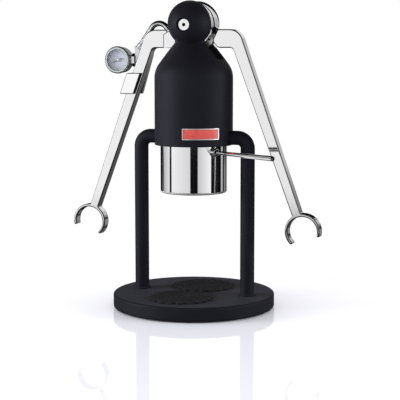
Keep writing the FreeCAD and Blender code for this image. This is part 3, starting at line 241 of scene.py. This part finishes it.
POWDER = powder_coated_aluminium()
LEVER_STEEL = polished_stainless("polished_lever_steel", "#efeff0", 0.05, 14, 0.03)
CLAMP_STEEL = polished_stainless("polished_clamp_steel", "#fbfbfc", 0.07, 8, 0.03)
# Two stand-ins, matched to lines in the photograph: how the real edges were made isn't known
BRUSHED_EDGE = polished_stainless("brushed_cup_edge", "#f2f2f4", 0.55, 4.0, 0.05)
# Dull dark steel that paints the dark reflection on the levers' rounded edges and the clamp's chamfers; the
# hub plate's edge line is drawn in it too
DARK_EDGE_PAINT = polished_stainless("painted_dark_edge", "#545458", 0.45, 6.0, 0.03)
CUP_STEEL = polished_stainless("polished_cup_steel", "#e4e4e6", 0.03, 18, 0.03)
GAUGE_STEEL = polished_stainless("polished_gauge_steel", "#d0d2d3", 0.16, 6, 0.05)
BEZEL_STEEL = polished_stainless("brushed_bezel_steel", "#a6adaa", 0.34, 2, 0.08)
RIM_STEEL = polished_stainless("bright_rim_steel", "#c6c6ca", 0.32, 3, 0.06)
SHAFT_STEEL = turned_steel("turned_shaft_steel", "#bdbdbd", 0.28, 0.4)
SCREW_STEEL = turned_steel("turned_screw_steel", "#aeb0b2", 0.3, 0.3)
BASKET_STEEL = turned_steel("pressed_basket_steel", "#cfcfce", 0.22, 0.6)
BRONZE = bearing_bronze()
BRASS = machined_brass()
MAT_RUBBER = moulded_rubber("moulded_mat_rubber", "#141417", "#1a1a1e", 0.75, 0.9)
FOOT_RUBBER = moulded_rubber("moulded_foot_rubber", "#121213", "#1a1a1b", 0.8, 0.7)
SEAL_RUBBER = moulded_rubber("moulded_seal_rubber", "#2a1a17", "#35221e", 0.5, 0.7)
ENAMEL = stove_enamel()
GLASS = flat_glass()
DIAL_WHITE = printed_aluminium("printed_dial", "#a0a4b8", "#969bb0", 0.55)
DIAL_BLACK = printed_aluminium("printed_black", "#15161d", "#1c1d26", 0.5)
DIAL_INK = printed_aluminium("printed_grey_ink", "#7d8096", "#888ba1", 0.5)
# Painted shade: a near-black finish laid in holes and key sockets in place of the dark they hold
HOLLOW_SHADE = painted_hollow_shade()

FINISHES = {
    POWDER: ("base_plate", "body_shell", "leg_left", "leg_right", "leg_collars"),
    LEVER_STEEL: ("left_lever", "right_lever", "rear_spacer", "pivot_bolt", "pivot_nut"),
    CUP_STEEL: ("portafilter_cup", "handle_boss", "handle_rod"),
    CLAMP_STEEL: ("gauge_clamp",),
    GAUGE_STEEL: ("gauge_bracket", "gauge_stem", "gauge_nut", "gauge_pipe",
                  "pipe_nut", "pipe_port"),
    BEZEL_STEEL: ("gauge_bezel", "gauge_case"),
    RIM_STEEL: ("badge_frame",),
    SHAFT_STEEL: ("piston_head", "piston_rod", "rod_pin", "stop_collar", "yoke_plate", "left_crank_pin",
                  "right_crank_pin", "locking_ring"),
    SCREW_STEEL: ("leg_screws", "clamp_screws", "piston_screw"),
    BASKET_STEEL: ("coffee_basket", "shower_screen"),
    BRONZE: ("left_hub_bush", "right_hub_bush", "thrust_washers", "rod_bush"),
    BRASS: ("gauge_movement",),
    MAT_RUBBER: ("drip_mat",),
    FOOT_RUBBER: ("base_feet",),
    SEAL_RUBBER: ("piston_seals",),
    ENAMEL: ("badge_plate",),
    GLASS: ("gauge_glass",),
    DIAL_WHITE: ("gauge_dial",),
    DIAL_BLACK: ("gauge_needle",),
}
for finish, names in FINISHES.items():
    for name in names:
        NODES[name].data.materials.clear()
        NODES[name].data.materials.append(finish)


# Small pieces that the frame leaves to this script

def finish_piece(name, shape, finish, body, smooth=False):
    """Turns a built shape into a named piece with its finish, on the body that carries it."""
    for face in shape.faces:
        face.smooth = smooth
    mesh = bpy.data.meshes.new(name)
    shape.to_mesh(mesh)
    shape.free()
    mesh.materials.append(finish)
    piece = bpy.data.objects.new(name, mesh)
    bpy.context.scene.collection.objects.link(piece)
    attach(piece, body)
    return piece


def turned(shape, profile, centre, axis, steps=48):
    """Turns a profile of (radius, height) points round an axis through a centre."""
    side = axis.orthogonal().normalized()
    points = [shape.verts.new(centre + side * radius * MM + axis * height * MM)
              for radius, height in profile]
    edges = [shape.edges.new(pair) for pair in zip(points, points[1:])]
    bmesh.ops.spin(shape, geom=points + edges, cent=centre, axis=axis, angle=math.tau, steps=steps)
    bmesh.ops.remove_doubles(shape, verts=shape.verts[:], dist=0.002 * MM)
    bmesh.ops.recalc_face_normals(shape, faces=shape.faces[:])


def raised(shape, outline, lift):
    """A flat outline with its edge raised by a lift, as thick print or a socket's floor."""
    face = shape.faces.new([shape.verts.new(point) for point in outline])
    grown = bmesh.ops.extrude_face_region(shape, geom=[face])["geom"]
    bmesh.ops.translate(shape, vec=lift, verts=[v for v in grown if isinstance(v, bmesh.types.BMVert)])


def dial_print():
    """The printed scale: a ring, long and short marks over 270 degrees, and plain numbers."""
    start, sweep = 200, 270  # degrees: where the first mark is, and how far clockwise the scale runs
    rim, ring_inside, ring_outside, number_radius = 10.2, 10.1, 10.35, 6.9
    marks, ring_steps, numbers = 50, 60, 5
    low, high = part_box("gauge_dial")
    middle = Vector(((low.x + high.x) / 2, low.y, (low.z + high.z) / 2))
    lift = Vector((0, -0.03 * MM, 0))
    shape = bmesh.new()

    def on_dial(radius, angle, across=0.0):
        turn = math.radians(angle)
        out = Vector((math.cos(turn), 0, math.sin(turn)))
        return middle + (out * radius + Vector((-out.z, 0, out.x)) * across) * MM

    for step in range(marks + 1):
        angle = start - sweep * step / marks
        length, half = (1.7, 0.16) if step % 5 == 0 else (0.8, 0.08)
        raised(shape, [on_dial(r, angle, s) for r, s in ((rim - length, half), (rim, half),
                                                         (rim, -half), (rim - length, -half))], lift)
    for step in range(ring_steps):
        first, second = (start - sweep * (step + end) / ring_steps for end in (0, 1))
        raised(shape, [on_dial(ring_inside, first), on_dial(ring_outside, first),
                       on_dial(ring_outside, second), on_dial(ring_inside, second)], lift)
    for step in range(numbers + 1):
        words = bpy.data.curves.new("scale_number", "FONT")
        words.body = str(step * 2)
        words.size = 2.6 * MM
        words.extrude = 0.015 * MM
        words.align_x = "CENTER"
        words.align_y = "CENTER"
        holder = bpy.data.objects.new("scale_number", words)
        spot = on_dial(number_radius, start - sweep * step / numbers)
        holder.matrix_world = Matrix.Translation(spot) @ Matrix.Rotation(math.pi / 2, 4, "X")
        number = bpy.data.meshes.new_from_object(holder)
        number.transform(holder.matrix_world)
        shape.from_mesh(number)
        bpy.data.objects.remove(holder)
        bpy.data.meshes.remove(number)
    return finish_piece("dial_print", shape, DIAL_INK, "left_lever_set")


def needle_cap():
    """The small bright boss pressed over the needle's hub."""
    low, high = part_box("gauge_dial")
    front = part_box("gauge_needle")[0].y
    middle = Vector(((low.x + high.x) / 2, front, (low.z + high.z) / 2))
    shape = bmesh.new()
    dome = [(1.5, 0.0), (1.45, 0.25), (1.2, 0.42), (0.7, 0.52), (0.0, 0.56)]
    turned(shape, dome, middle, Vector((0, -1, 0)))
    return finish_piece("needle_cap", shape, RIM_STEEL, "needle_set", smooth=True)


def shoulder_seam():
    """A fine dark line along the left hub plate's edge, where the photograph shows one.

    It is a stand-in: what makes the real line isn't known, and may be a plate that laps the arm.
    """
    plate_edge = ((-22.3, 280.81), (-28.6, 277.3), (-28.6, 264.0))
    width, lift = 0.7, 0.04
    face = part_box("left_lever")[0].y
    path = [Vector((x * MM, face, z * MM)) for x, z in plate_edge]
    shape = bmesh.new()
    for first, second in zip(path, path[1:]):
        along = (second - first).normalized()
        inward = Vector((-along.z, 0, along.x)) * width * MM
        raised(shape, [first, second, second + inward, first + inward], Vector((0, -lift * MM, 0)))
    return finish_piece("shoulder_seam", shape, DARK_EDGE_PAINT, "left_lever_set")


def mat_ribs():
    """Raised wavy ribs on both rounds of the drip mat, which keep a cup off the wet rubber."""
    mat_radius, waves, depth, steps = 32.67, 20, 0.035, 160
    section = [(-0.6, -0.2), (-0.5, 0.25), (0.0, 0.45), (0.5, 0.25), (0.6, -0.2)]
    low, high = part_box("drip_mat")
    top = high.z
    shape = bmesh.new()
    for middle in (low.y + mat_radius * MM, high.y - mat_radius * MM):
        for radius in (27.0, 22.5, 18.0, 13.5, 9.0, 4.5):
            rings = []
            for step in range(steps):
                turn = math.tau * step / steps
                wave = radius * (1 + depth * math.cos(waves * turn))
                out = Vector((math.cos(turn), math.sin(turn), 0))
                rings.append([shape.verts.new(Vector((0, middle, top)) + (out * (wave + across)) * MM
                                              + Vector((0, 0, up * MM))) for across, up in section])
            for ring, following in zip(rings, rings[1:] + rings[:1]):
                for i in range(len(section) - 1):
                    shape.faces.new((ring[i], ring[i + 1], following[i + 1], following[i]))
    bmesh.ops.recalc_face_normals(shape, faces=shape.faces[:])
    return finish_piece("mat_ribs", shape, MAT_RUBBER, "stand", smooth=True)


def perforations(name, body, height, reach, hole, pitch, side, clear=0.0):
    """A field of punched holes in a flat sheet: each hole is a flat dark disc of painted shade, not a cut.

    Real ones are 0.3 mm wide and 0.9 mm apart. They are drawn larger and further apart so that they show.
    """
    row_pitch = pitch * 0.866
    turns = [turn * math.tau / 8 for turn in range(8)]
    octagon = [Vector((math.cos(turn), math.sin(turn), 0)) for turn in turns]
    shape = bmesh.new()
    rows = int(reach / row_pitch) + 1
    for row in range(-rows, rows + 1):
        for column in range(-rows, rows + 1):
            x = (column + 0.5 * (row % 2)) * pitch
            y = row * row_pitch
            if clear < math.hypot(x, y) < reach:
                centre = Vector((x * MM, y * MM, height))
                raised(shape, [centre + corner * hole * MM for corner in octagon],
                       Vector((0, 0, side * 0.02 * MM)))
    return finish_piece(name, shape, HOLLOW_SHADE, body)


def key_sockets(name, body, spots, axis, flats):
    """The cap screws' hexagon sockets, drawn as flat dark hexagons and rings of painted shade on their
    heads.
    """
    shape = bmesh.new()
    side = axis.orthogonal().normalized()
    other = axis.cross(side)
    reach = flats / math.sqrt(3) * MM
    groove = [(flats * 0.72, 0.0), (flats * 0.74, 0.06), (flats * 0.86, 0.06), (flats * 0.88, 0.0)]
    for spot in spots:
        turns = [turn * math.tau / 6 for turn in range(6)]
        raised(shape, [spot + (side * math.cos(turn) + other * math.sin(turn)) * reach for turn in turns],
               axis * 0.03 * MM)
        turned(shape, groove, spot, axis, 24)
    return finish_piece(name, shape, HOLLOW_SHADE, body)


def second_finish(node, finish, chosen):
    """Gives the facets that the test chooses a finish of their own."""
    sheet = NODES[node].data
    sheet.materials.append(finish)
    for facet in sheet.polygons:
        if chosen(facet):
            facet.material_index = len(sheet.materials) - 1


def in_key_socket(node, end):
    """Chooses the facets of the key socket sunk in a node's front (0) or back (1) end."""
    socket_radius, skin, depth = 2.1, 0.02, 2.6
    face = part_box(node)[end].y
    centre = sum(corner.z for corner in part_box(node)) / 2

    def chosen(facet):
        away = math.hypot(facet.center.x, facet.center.z - centre)
        return away < socket_radius * MM and skin * MM < abs(facet.center.y - face) < depth * MM
    return chosen


def clamp_block():
    """The gauge's clamp with a dark outline, as the photograph shows it: the outline is a painted dark
    reflection on dull chamfers.

    The chamfers are a stand-in that the CAD doesn't have: wide and dull, so that the outline shows.
    """
    chamfer, shortest = 0.9, 6
    shape = bmesh.new()
    shape.from_mesh(NODES["gauge_clamp"].data)
    bmesh.ops.remove_doubles(shape, verts=shape.verts[:], dist=0.01 * MM)
    bmesh.ops.dissolve_limit(shape, angle_limit=math.radians(1), verts=shape.verts[:],
                             edges=shape.edges[:])
    sharp = [edge for edge in shape.edges if edge.is_manifold and edge.calc_length() > shortest * MM
             and edge.calc_face_angle(0) > math.radians(40)]
    bmesh.ops.bevel(shape, geom=sharp, offset=chamfer * MM, segments=1, profile=0.5, affect="EDGES",
                    clamp_overlap=True, material=1)
    piece = finish_piece("clamp_block", shape, CLAMP_STEEL, "left_lever_set")
    piece.data.materials.append(DARK_EDGE_PAINT)
    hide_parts("gauge_clamp")


def fine_parts():
    """Adds the small pieces and second finishes one after another."""
    dial_print()
    needle_cap()
    shoulder_seam()
    mat_ribs()
    # The key sockets sunk in the pivot bolt and nut get painted shade on their inner facets
    second_finish("pivot_bolt", HOLLOW_SHADE, in_key_socket("pivot_bolt", 0))
    second_finish("pivot_nut", HOLLOW_SHADE, in_key_socket("pivot_nut", 1))
    # A dull dark finish on the levers' rounded edges paints the thin dark reflection seen there
    for lever in ("left_lever", "right_lever"):
        second_finish(lever, DARK_EDGE_PAINT, lambda facet: 0.12 < abs(facet.normal.y) < 0.97)
    # The cup's lower edge shows grey in the photograph, and a brushed finish stands in for that
    edge_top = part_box("portafilter_cup")[0].z + 2.5 * MM
    second_finish("portafilter_cup", BRUSHED_EDGE,
                  lambda facet: facet.center.z < edge_top and -0.98 < facet.normal.z < -0.08)
    clamp_block()

    basket_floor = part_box("coffee_basket")[0].z
    perforations("basket_holes", "portafilter_set", basket_floor, 25.0, 0.42, 1.9, -1)
    plate_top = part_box("shower_screen")[0].z + 1.2 * MM
    perforations("screen_holes", "portafilter_set", plate_top, 24.0, 0.5, 2.4, 1, clear=4.0)
    low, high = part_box("leg_screws")
    key_sockets("leg_screw_sockets", "stand",
                [Vector((side * (high.x - 5.5 * MM), 0, low.z)) for side in (-1, 1)],
                Vector((0, 0, -1)), 5.0)
    low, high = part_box("clamp_screws")
    key_sockets("clamp_screw_sockets", "left_lever_set",
                [Vector((low.x + 3 * MM, high.y, low.z + 3 * MM)),
                 Vector((high.x - 3 * MM, high.y, high.z - 3 * MM))], Vector((0, 1, 0)), 2.5)


# Floor, light and camera

def soft_panel(name, spot, aim, width, height, watts):
    """A soft white rectangular studio light that faces a point."""
    lamp = bpy.data.lights.new(name, "AREA")
    lamp.shape = "RECTANGLE"
    lamp.size = width
    lamp.size_y = height
    lamp.energy = watts
    place_and_aim(name, lamp, Vector(spot), Vector(aim))


def place_and_aim(name, data, spot, aim):
    """Puts a light or a camera at a spot, and turns it to face a point."""
    holder = bpy.data.objects.new(name, data)
    bpy.context.scene.collection.objects.link(holder)
    holder.location = spot
    holder.rotation_euler = (aim - spot).to_track_quat("-Z", "Y").to_euler()
    return holder


# What polished steel mirrors, all round: lit cloth panels with black between them. Each panel has its
# first and last azimuth in degrees from the front towards the right, the light at each end, its bottom
# and top in metres, and how softly it fades there. All of it was set so that the bright and
# dark bands in the steel come near the photograph's from this one view.
PANELS = (
    ("left_panel", -117, -70.5, 0.45, 0.95, -0.14, 0.2, 0.05),
    ("handle_panel", -126, -82, 0.35, 0.5, 0.5, 1.3, 0.1),
    ("front_left_panel", -61.5, 8.5, 1.1, 0.85, -0.14, 0.62, 0.05),
    ("front_right_panel", 34, 81.5, 0.7, 1.15, -0.14, 0.62, 0.05),
    ("right_strip", 98, 102.5, 0.95, 0.95, -0.2, 0.9, 0.05),
    ("right_rear_panel", 128, 139, 0.6, 0.5, -0.2, 0.9, 0.1),
    ("rear_fill", 143, 176, 0.3, 0.3, 0.1, 0.45, 0.15),
    ("lever_side_panel", 158.9, 166, 0.55, 0.55, 0.24, 0.62, 0.06),
    ("claw_fill", 148, 164.5, 0.26, 0.26, -0.52, 0.06, 0.06),
    ("lever_fill", 150, 190, 0.08, 0.08, -0.62, -0.05, 0.1),
    ("rear_strip", 178, 188, 0.8, 0.8, -0.1, 0.3, 0.05),
    ("rear_top_panel", 145, 204, 0.8, 0.8, 0.4, 1.4, 0.3),
)
ROOM_LIGHT = 0.006
GROUND_LIGHT = 0.12
EDGE = 1.2  # degrees over which a panel's side edges fade
WALL_RADIUS, GROUND, CEILING = 1.5, -0.6, 1.5


def light_at(azimuth, height):
    """The light that comes from one place on the cloth wall."""
    light = ROOM_LIGHT
    for _, first, last, light_first, light_last, bottom, top, fade in PANELS:
        inside = min(azimuth - first, last - azimuth) / EDGE + 0.5
        within = min(height - bottom, top - height) / fade
        share = max(0.0, min(1.0, inside)) * max(0.0, min(1.0, within))
        along = max(0.0, min(1.0, (azimuth - first) / (last - first)))
        light = max(light, share * (light_first + (light_last - light_first) * along))
    return light


def only_glossy(card):
    """Keeps a studio card out of the picture, so that only reflections show it."""
    bpy.context.scene.collection.objects.link(card)
    card.visible_camera = False
    card.visible_diffuse = False
    card.visible_shadow = False


def cloth_wall(name, azimuths, rings, light):
    """A curved cloth wall, from rings of (height, radius), whose points carry the light they give."""
    sheet = bpy.data.meshes.new(name)
    points = [(radius * math.sin(math.radians(a)), -radius * math.cos(math.radians(a)), z)
              for z, radius in rings for a in azimuths]
    across = len(azimuths)
    faces = [(i, i + 1, i + 1 + across, i + across) for row in range(len(rings) - 1)
             for i in range(row * across, row * across + across - 1)]
    sheet.from_pydata(points, [], faces)
    glow = sheet.attributes.new("light", "FLOAT", "POINT")
    glow.data.foreach_set("value", [light(a, z) for z, _ in rings for a in azimuths])
    material = bpy.data.materials.new(name + "_cloth")
    material.use_nodes = True
    tree = material.node_tree
    tree.nodes.clear()
    shown = add_node(tree, "Attribute", attribute_name="light").outputs["Fac"]
    shine = add_node(tree, "Emission", {"Strength": shown})
    add_node(tree, "OutputMaterial", {"Surface": shine.outputs["Emission"]})
    sheet.materials.append(material)
    card = bpy.data.objects.new(name, sheet)
    only_glossy(card)
    return card


def shown_only_to(card, pieces):
    """Lets only these pieces mirror a card: to every other piece it is black."""
    seen_by = bpy.data.collections.new(card.name + "_receivers")
    for piece in pieces:
        seen_by.objects.link(piece)
    card.light_linking.receiver_collection = seen_by


def studio():
    """White floor and tent, the cloths that steel mirrors, and three soft lights."""
    sheet = bpy.data.meshes.new("floor")
    shape = bmesh.new()
    bmesh.ops.create_circle(shape, cap_ends=True, segments=96, radius=0.32)
    shape.to_mesh(sheet)
    shape.free()
    floor = bpy.data.objects.new("floor", sheet)
    bpy.context.scene.collection.objects.link(floor)
    floor.location = (0, -0.12, -0.0002)
    floor.data.materials.append(studio_floor())
    floor.visible_glossy = False  # the machine mirrors the cloths below it, and not the floor

    world = bpy.data.worlds.new("tent")
    bpy.context.scene.world = world
    world.use_nodes = True
    world.node_tree.nodes["Background"].inputs["Color"].default_value = (1, 1, 1, 1)
    world.node_tree.nodes["Background"].inputs["Strength"].default_value = 1.0
    all_round = [step * 0.5 - 142 for step in range(721)]
    steps_up = [(GROUND + 0.05 * step, WALL_RADIUS) for step in range(43)]
    cloth_wall("reflected_wall", all_round, steps_up, light_at)
    behind = cloth_wall("floor_background", [170 + 2 * step for step in range(31)],
                        [(0.1, 1.4), (0.62, 1.4)], lambda azimuth, height: 0.97)
    shown_only_to(behind, [floor])
    below = cloth_wall("handle_reflector", [-165 + 3 * step for step in range(31)],
                       [(-0.58, 0.3), (-0.58, 1.45), (-0.12, 1.45)], lambda azimuth, height: 0.95)
    shown_only_to(below, [NODES["handle_rod"], NODES["handle_boss"]])
    spokes = [step * 5 for step in range(73)]
    cloth_wall("reflected_ceiling", spokes, [(CEILING, WALL_RADIUS), (CEILING, 0.0)],
               lambda azimuth, height: 0.0)
    cloth_wall("reflected_ground", spokes, [(GROUND, WALL_RADIUS), (GROUND, 0.0)],
               lambda azimuth, height: GROUND_LIGHT)
    soft_panel("left_light", (-1.6, -0.9, 0.4), (0, 0, 0.25), 0.9, 0.7, 40)
    soft_panel("right_light", (1.7, 0.2, 0.4), (0, 0, 0.25), 0.6, 0.7, 20)
    soft_panel("front_light", (0.6, -1.9, 0.35), (0, 0, 0.25), 1.0, 0.6, 6)


def camera():
    """The photograph's view: 20.6 degrees to the right of the front and a little above."""
    data = bpy.data.cameras.new("photo_view")
    data.sensor_width = 36
    data.lens = 105.82
    data.clip_end = 50
    bpy.context.scene.camera = place_and_aim("photo_view", data, Vector((0.41981, -1.11562, 0.25742)),
                                             Vector((0.00669, 0.00012, 0.11002)))


fine_parts()
studio()
camera()
bpy.context.scene.view_settings.view_transform = "Standard"
